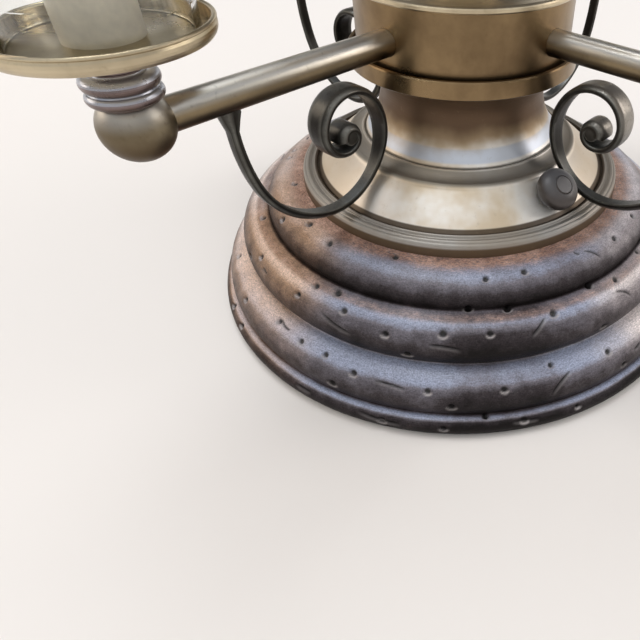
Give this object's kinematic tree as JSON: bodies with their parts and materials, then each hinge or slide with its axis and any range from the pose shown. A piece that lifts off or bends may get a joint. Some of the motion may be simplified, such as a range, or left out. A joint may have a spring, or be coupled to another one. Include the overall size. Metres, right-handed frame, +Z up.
{
  "type": "hurricane table lamp",
  "caption": "Table lamp with a turned wood base, belled brass foot, scrolled arms with glass chimneys, and a main hurricane glass on a turned column.",
  "frame": {"origin": "on the table, under the middle of the round base", "axes": "+Z up the column; the four arms point along the diagonals between X and Y; the cord outlet faces +Y and the switch is on the -Y side"},
  "size_m": [0.2876, 0.2876, 0.5687],
  "materials": {
    "stained_wood": "dark stained wood with worn orange-brown edges, wormholes and slash marks",
    "felt": "green-black felt",
    "iron": "rough cast iron",
    "bushing": "black moulded plastic",
    "plain_brass": "plain turned brass",
    "antique_brass": "satin antique brass with brown patina in the grooves",
    "ball_brass": "olive brass with brown patina",
    "gunmetal": "dark gunmetal bronze with rubbed edges",
    "dark_copper": "glossy dark copper lacquer",
    "socket": "pale moulded socket",
    "ivory": "ivory candle sleeve",
    "bulb_glass": "clear lamp glass",
    "clear_glass": "clear blown glass",
    "switch_case": "black moulded case",
    "steel": "turned steel",
    "knob": "dark charcoal plastic"
  },
  "bodies": {
    "lamp": {"wood_base": "stained_wood", "column": "stained_wood", "felt_pad": "felt", "ballast": "iron", "cord_bushing": "bushing", "base_washer": "plain_brass", "base_nut": "plain_brass", "lamp_pipe": "plain_brass", "arm_nipples": "plain_brass", "switch_nut": "plain_brass", "foot_shell": "antique_brass", "neck_ring": "antique_brass", "arm_hub": "antique_brass", "hub_cap": "antique_brass", "column_foot": "antique_brass", "column_top": "antique_brass", "gallery": "antique_brass", "main_socket": "antique_brass", "arm_tube_1": "antique_brass", "arm_tube_2": "antique_brass", "arm_tube_3": "antique_brass", "arm_tube_4": "antique_brass", "glass_pan_1": "antique_brass", "glass_pan_2": "antique_brass", "glass_pan_3": "antique_brass", "glass_pan_4": "antique_brass", "ball_1": "ball_brass", "ball_2": "ball_brass", "ball_3": "ball_brass", "ball_4": "ball_brass", "scroll_1": "gunmetal", "scroll_2": "gunmetal", "scroll_3": "gunmetal", "scroll_4": "gunmetal", "candle_cup_1": "dark_copper", "candle_cup_2": "dark_copper", "candle_cup_3": "dark_copper", "candle_cup_4": "dark_copper", "candle_sockets": "socket", "candle_sleeve_1": "ivory", "candle_sleeve_2": "ivory", "candle_sleeve_3": "ivory", "candle_sleeve_4": "ivory", "candle_bulb_1": "bulb_glass", "candle_bulb_2": "bulb_glass", "candle_bulb_3": "bulb_glass", "candle_bulb_4": "bulb_glass", "main_bulb": "bulb_glass", "switch_body": "switch_case"},
    "switch": {"switch_shaft": "steel", "switch_knob": "knob"},
    "small_glass_1": {"chimney_1": "clear_glass"},
    "small_glass_2": {"chimney_2": "clear_glass"},
    "small_glass_3": {"chimney_3": "clear_glass"},
    "small_glass_4": {"chimney_4": "clear_glass"},
    "main_glass": {"main_chimney": "clear_glass"}
  },
  "joints": [
    {"name": "knob_turn", "type": "hinge", "parent": "lamp", "child": "switch", "pos_m": [0.03786, -0.05613, 0.07634], "axis": [0.3594, -0.5329, 0.766], "continuous": true},
    {"name": "chimney_1_lift", "type": "slide", "parent": "lamp", "child": "small_glass_1", "axis": [0, 0, 1], "range_m": [0, 0.15]},
    {"name": "chimney_2_lift", "type": "slide", "parent": "lamp", "child": "small_glass_2", "axis": [0, 0, 1], "range_m": [0, 0.15]},
    {"name": "chimney_3_lift", "type": "slide", "parent": "lamp", "child": "small_glass_3", "axis": [0, 0, 1], "range_m": [0, 0.15]},
    {"name": "chimney_4_lift", "type": "slide", "parent": "lamp", "child": "small_glass_4", "axis": [0, 0, 1], "range_m": [0, 0.15]},
    {"name": "main_chimney_lift", "type": "slide", "parent": "lamp", "child": "main_glass", "axis": [0, 0, 1], "range_m": [0, 0.14]}
  ]
}
